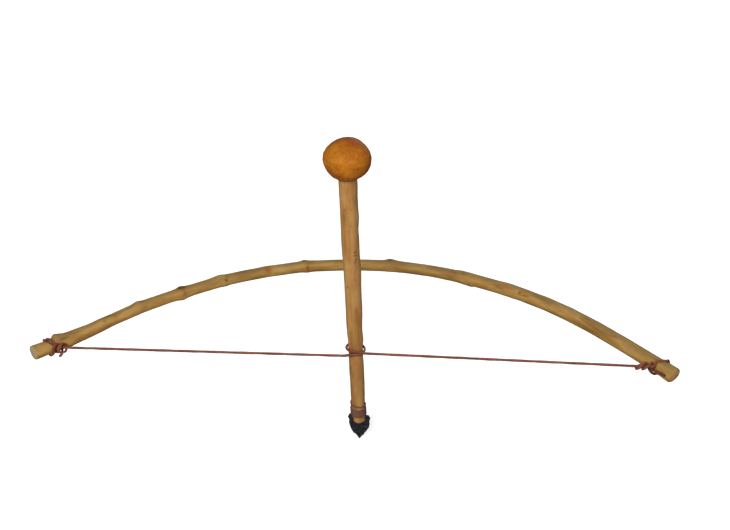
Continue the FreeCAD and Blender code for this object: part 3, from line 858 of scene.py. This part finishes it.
def knot(name, node, route, seed):
    obj, _ = lace(name, route, 0.45 * MM, KNOT_TWIST, seed, cut_end=True)
    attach(obj, "bow")
    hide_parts(node)


def string_axis(node):
    """Where a span of the string runs: its two ends, the one at the knot a little lower."""
    low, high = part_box(node)
    y = (low.y + high.y) / 2
    z = (low.z + high.z) / 2
    left_fall, right_fall = (LEFT_FALL, 0) if node == "string_left" else (0, RIGHT_FALL)
    return np.array((low.x, y, z - left_fall)), np.array((high.x, y, z - right_fall))


def straight_lead(start, direction, lead):
    """Control points along the standing string inside a knot."""
    return [start + np.array((direction * lead * k / 3 * MM, 0, 0)) for k in range(4)]


def make_left_knot():
    """Two turns on the stave, then a heap of bights round the string and a short tail."""
    start, _ = string_axis("string_left")
    route = straight_lead(start, -1, LEFT_LEAD)
    route += wrap_route(LEFT_PLACE, LEFT_WRAPS)
    route += hitch_route(start, 1, LEFT_COIL)
    route += [start + np.array(step) * MM for step in LEFT_TAIL]
    knot("knot_left", "left_knot", route, 0.31)


def make_right_knot():
    """One turn on the stave, two twists round the string, and the tail laid along the stave."""
    _, start = string_axis("string_right")
    route = straight_lead(start, 1, RIGHT_LEAD)
    route += wrap_route(RIGHT_PLACE, RIGHT_WRAPS)
    route += hitch_route(start, 1, RIGHT_COIL)
    route += wrap_route(RIGHT_PLACE, RIGHT_TAIL)
    knot("knot_right", "right_knot", route, 0.57)


def make_spans():
    """The two spans run straight from their knots to the spindle."""
    spans = (("span_left", "string_left", 0), ("span_right", "string_right", 1))
    for name, node, at in spans:
        ends = string_axis(node)
        knot_end = ends[at]
        drill_end = ends[1 - at]
        inner = drill_end.copy()
        inner[0] = math.copysign(SEAM_X, drill_end[0])
        parts = 9
        route = [knot_end + (inner - knot_end) * k / parts for k in range(parts + 1)]
        obj, line = lace(name, route, 2.0 * MM, SPAN_TWIST, 0.13 + 0.2 * at)
        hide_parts(node)
        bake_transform(obj)


def make_turn():
    """One climbing turn round the spindle, with a short lead into each span."""
    _, left = string_axis("string_left")
    right, _ = string_axis("string_right")
    reach = -left[1]
    climb = right[2] - left[2]
    route = [left + (0.5 * MM, 0, 0), (-SEAM_X, left[1], left[2] + 0.2 * TURN_LIFT),
             (-0.35 * SEAM_X, left[1], left[2] + TURN_LIFT)]
    steps = 16
    for k in range(1, steps):
        a = 2 * math.pi * k / steps
        r = reach / math.cos(math.pi / steps) * 0.998
        rise = climb * (a - math.sin(a)) / (2 * math.pi)
        route.append((r * math.sin(a), -r * math.cos(a), left[2] + rise + TURN_LIFT))
    route += [(0.35 * SEAM_X, right[1], right[2] + 0.8 * TURN_LIFT),
              (SEAM_X, right[1], right[2] + 0.2 * TURN_LIFT), right - (0.5 * MM, 0, 0)]
    obj, _ = lace("string_turn_round", route, 0.6 * MM, SPAN_TWIST, 0.77)
    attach(obj, "string_turn")
    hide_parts("string_turn")


# Lashing


def make_lashing():
    """A flat thong: close turns climbing to the left in front, then one that leaves them."""
    low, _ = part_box("lashing")
    cut = slice_at(triangles_of("spindle"), 2, low.z + 2 * THONG_PITCH)
    widest = np.hypot(cut[:, 0], cut[:, 1]).max()
    surface = surface_of("spindle")
    steps = 44
    section = [(-0.5, -0.5), (-0.5, 0.1), (-0.42, 0.42), (-0.2, 0.5), (0.2, 0.5), (0.42, 0.42),
               (0.5, 0.1), (0.5, -0.5)]
    count = (THONG_CLOSE_TURNS + 1) * steps + 1
    start_z = low.z + THONG_WIDE * 0.5
    places = []
    woods = []
    for i in range(count):
        turn = i / steps
        leaving = max(0.0, turn - THONG_CLOSE_TURNS + 0.25) / 1.25
        leaving *= leaving * (3 - 2 * leaving)
        z = start_z + THONG_PITCH * min(turn, THONG_CLOSE_TURNS) + THONG_LAST_CLIMB * leaving
        a = 2 * math.pi * turn + THONG_START
        outward = np.array((-math.sin(a), -math.cos(a), 0))
        hit = surface.ray_cast(Vector(outward * 2 * widest) + Vector((0, 0, z)), -Vector(outward))
        woods.append(max(0.9 * widest, 2 * widest - hit[3]) if hit[0] else 0.9 * widest)
        places.append((turn, a, z, outward))
    woods = smoothed(woods, 8)
    vertices = []
    grain = []
    for i, (turn, a, z, outward) in enumerate(places):
        wood = woods[i]
        tucked = 1 - min(1.0, min(i, count - 1 - i) / 5)
        narrowed = min(1.0, max(0.0, (turn - THONG_CLOSE_TURNS + 0.35) / 0.3))
        share = 1 - (1 - THONG_LAST_WIDE) * narrowed
        wide = THONG_WIDE * share * (1 + 0.06 * math.sin(5.1 * turn + 1.0)) * (1 - 0.4 * tucked)
        thick = THONG_THICK * (1 - 0.1 * narrowed)
        for across, out in section:
            rim = 0.06 * math.sin(31 * turn + 3 * across) * (out > 0)
            height = thick * (out + 0.5 + rim) - 0.5 * tucked * THONG_THICK
            vertices.append(outward * (wood + 0.05 * MM + height)
                            + np.array((0, 0, z + across * wide)))
            grain.append((a * wood, height, across * wide))
    faces = capped(ring_faces(count, len(section)), count, len(section))
    obj = mesh_object("bit_lashing", vertices, faces)
    round_over = obj.modifiers.new("round", "SUBSURF")
    round_over.levels = 1
    round_over.render_levels = 1
    paint(obj, grain=grain, stain=np.zeros(len(vertices)))
    obj.data.materials.append(leather("lashing_leather", srgb(140, 98, 84), srgb(112, 74, 64),
                                      srgb(74, 44, 34), 2.0))
    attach(obj, "drill")
    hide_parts("lashing")


# Stone bit


def make_flint():
    """The leaf keeps its CAD outline and gets knapping scars that run in from its edges."""
    flint = remeshed_copy("flint_bit", "flint_leaf", 0.4 * MM, 1)
    points, normals = vertex_arrays(flint)
    moved = []
    stain = []
    for p, normal in zip(points, normals):
        x, y, z = p
        leaf = 1 - clamp((z - 0.028) / 0.003)
        cell = noise.voronoi(Vector((x, y * 0.35, z * 0.8)) / 0.0042)
        nearest, second = cell[0][0], cell[0][1]
        ridge = max(0.0, 1 - (second - nearest) / 0.22)
        scoop = -0.34 * max(0.0, 1 - nearest ** 2 * 1.4)
        ripple = 0.05 * math.sin(nearest * 26)
        rough = 0.06 * fractal(p, 0.0015, 2, 9.0)
        on_face = abs(normal[1]) ** 2
        lift = (scoop + ripple) * on_face + 0.7 * rough + 0.12
        if x > 0:
            wider = 0.7 * bell((z - 0.004) / 0.003) * min(1.0, x / 0.0012) * MM
        else:
            wider = 1.3 * bell((z - 0.007) / 0.0045) * max(-1.0, x / 0.0015) * MM
        moved.append(p + normal * (lift * leaf * MM) + np.array((wider, 0, 0)))
        thin = max(0.0, 1 - abs(y) / 0.0007) * leaf
        stain.append(0.25 * ridge * leaf + 0.25 * thin)
    put_points(flint, moved)
    paint(flint, stain=stain)
    flint.data.materials.append(flint_stone("flint"))
    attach(flint, "drill")
    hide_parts("flint_bit")


# Hand socket


def make_hand_socket():
    """The ball keeps its hole and lip, and gets knife facets, lumps, fissures and painted shade on its
    crown and right side.
    """
    ball = remeshed_copy("hand_socket", "hand_ball", 0.6 * MM, 4)
    points, normals = vertex_arrays(ball)
    low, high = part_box("hand_socket")
    spindle_cut = slice_at(triangles_of("spindle"), 2, low.z + 2 * MM)
    hole = np.hypot(spindle_cut[:, 0], spindle_cut[:, 1]).max() + 0.6 * MM
    middle = (low.z + high.z) / 2
    moved = []
    stain = []
    for p, normal in zip(points, normals):
        x, y, z = p
        reach = math.hypot(x, y)
        outside = 1.0
        if z < high.z - 6 * MM:
            outside = clamp((reach - hole) / 0.002)
        up = (z - middle) / (high.z - middle)
        belly = (0.9 + 0.7 * x / 0.022) * bell((up + 0.45) / 0.4)
        lump = 0.5 * fractal(p, 0.017, 2, 12.0)
        facet = 0.35 * (noise.voronoi(Vector(p) / 0.0095)[0][0] - 0.45)
        vein = abs(noise.noise(Vector((x, y, z * 0.7)) / 0.009 + Vector((4.0, 1.0, 7.0))))
        fissure = bell(vein / 0.03) * max(0.0, noise.noise(Vector(p) / 0.02) + 0.2)
        groove = bell((z - low.z - 2.6 * MM) / (0.7 * MM)) * outside
        lift = (belly + lump + facet - 0.5 * fissure) * outside
        lift *= clamp((z - low.z - 2.0 * MM) / 0.004)
        fuller = 1.4 * bell((reach / MM - 12.5) / 3.6) * clamp(-1.6 * normal[2]) * (z < middle)
        moved.append(p + normal * ((lift - 0.35 * groove) * MM) - (0, 0, fuller * MM))
        # painted shade: the crown, where the hand shades it, and the right side, turned from the
        # light, are darkened through the stain
        shade = fractal(p, 0.014, 2, 1.5)
        painted_crown_shade = 0.55 * max(0.0, up - 0.25) * (1 + shade)
        side = 0.25 * max(0.0, x / 0.022) * (1 + shade)
        stain.append(clamp(max(0.8 * fissure, painted_crown_shade, side, 0.2 * groove)))
    put_points(ball, moved)
    paint(ball, stain=stain)
    ball.data.materials.append(burl_wood("socket_wood"))
    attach(ball, "hand_socket")
    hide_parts("hand_socket")


# Studio


def make_camera():
    yaw, pitch, roll = CAMERA_YAW, CAMERA_PITCH, CAMERA_ROLL
    ahead = Vector((-math.sin(yaw) * math.cos(pitch), math.cos(yaw) * math.cos(pitch),
                    -math.sin(pitch)))
    level = Vector((math.cos(yaw), math.sin(yaw), 0))
    upright = level.cross(ahead)
    right = level * math.cos(roll) + upright * math.sin(roll)
    up = upright * math.cos(roll) - level * math.sin(roll)
    data = bpy.data.cameras.new("camera")
    data.lens = CAMERA_LENS
    data.sensor_width = 36
    camera = bpy.data.objects.new("camera", data)
    bpy.context.scene.collection.objects.link(camera)
    place = CAMERA_AIM - ahead * CAMERA_DISTANCE
    rotation = Matrix((right, up, -ahead)).transposed().to_4x4()
    camera.matrix_world = Matrix.Translation(place) @ rotation
    bpy.context.scene.camera = camera


def make_floor():
    """A floor under the bit: white to the camera but for its shadows, grey to the pieces."""
    half = 6.0
    floor = mesh_object("floor", [(-half, -half, 0), (half, -half, 0), (half, half, 0),
                                  (-half, half, 0)], [(0, 1, 2, 3)], False)
    floor.location.z = cad_low.z - 0.6 * MM
    n = Nodes("floor")
    place = n.add("ShaderNodeTexCoord").outputs["Object"]
    seen = n.add("ShaderNodeLightPath").outputs["Is Camera Ray"]
    pale = n.ramp(n.noise(place, 3.0), [(0.3, (0.9, 0.9, 0.9, 1)), (0.7, (0.93, 0.93, 0.93, 1))])
    colour = n.mix(seen, (0.3, 0.3, 0.3, 1), pale)
    n.put(n.shader.inputs["Emission Color"], (1, 1, 1, 1))
    away = n.add("ShaderNodeVectorMath", {0: place}, operation="LENGTH").outputs["Value"]
    glow = n.math("ADD", FLOOR_GLOW, n.levels(away, 0.5, 2.5))
    n.put(n.shader.inputs["Emission Strength"], n.math("MULTIPLY", seen, glow))
    n.finish(colour, n.levels(n.noise(place, 30.0), -3.0, 1.2), n.bump(n.noise(place, 400.0), 0.0002),
             Specular_IOR_Level=0.1)
    floor.data.materials.append(n.material)


def area_light(name, place, size, power):
    data = bpy.data.lights.new(name, "AREA")
    data.shape = "DISK"
    data.size = size
    data.energy = power
    light = bpy.data.objects.new(name, data)
    bpy.context.scene.collection.objects.link(light)
    light.location = place
    light.rotation_mode = "QUATERNION"
    light.rotation_quaternion = (LIGHT_AIM - Vector(place)).to_track_quat("-Z", "Y")


def make_studio():
    make_camera()
    make_floor()
    area_light("key", (-0.3, -1.5, 1.45), 0.8, 31.0)
    area_light("fill", (1.2, -1.3, 0.9), 0.9, 6.0)
    area_light("back", (0.4, 1.6, 0.7), 0.9, 5.0)
    world = bpy.data.worlds.new("studio")
    world.use_nodes = True
    tree = world.node_tree
    background = tree.nodes["Background"]
    background.inputs["Color"].default_value = (1, 1, 1, 1)
    seen = tree.nodes.new("ShaderNodeLightPath").outputs["Is Camera Ray"]
    strength = tree.nodes.new("ShaderNodeMapRange")
    strength.inputs["To Min"].default_value = WORLD_LIGHT
    tree.links.new(seen, strength.inputs["Value"])
    tree.links.new(strength.outputs["Result"], background.inputs["Strength"])
    bpy.context.scene.world = world
    bpy.context.scene.view_settings.view_transform = "Standard"


string_leather = leather("string_leather", srgb(158, 92, 62), srgb(124, 66, 44), srgb(72, 34, 22))
stave_wood = stave_reaches()
stave_lifts, stave_stains, stave_amber = stave_surface(stave_wood)
stave_radii = stave_wood + stave_lifts * MM
make_studio()
make_left_knot()
make_right_knot()
make_spans()
make_turn()
make_stave(stave_radii, stave_stains, stave_amber)
make_spindle()
make_lashing()
make_flint()
make_hand_socket()

bpy.context.view_layer.update()
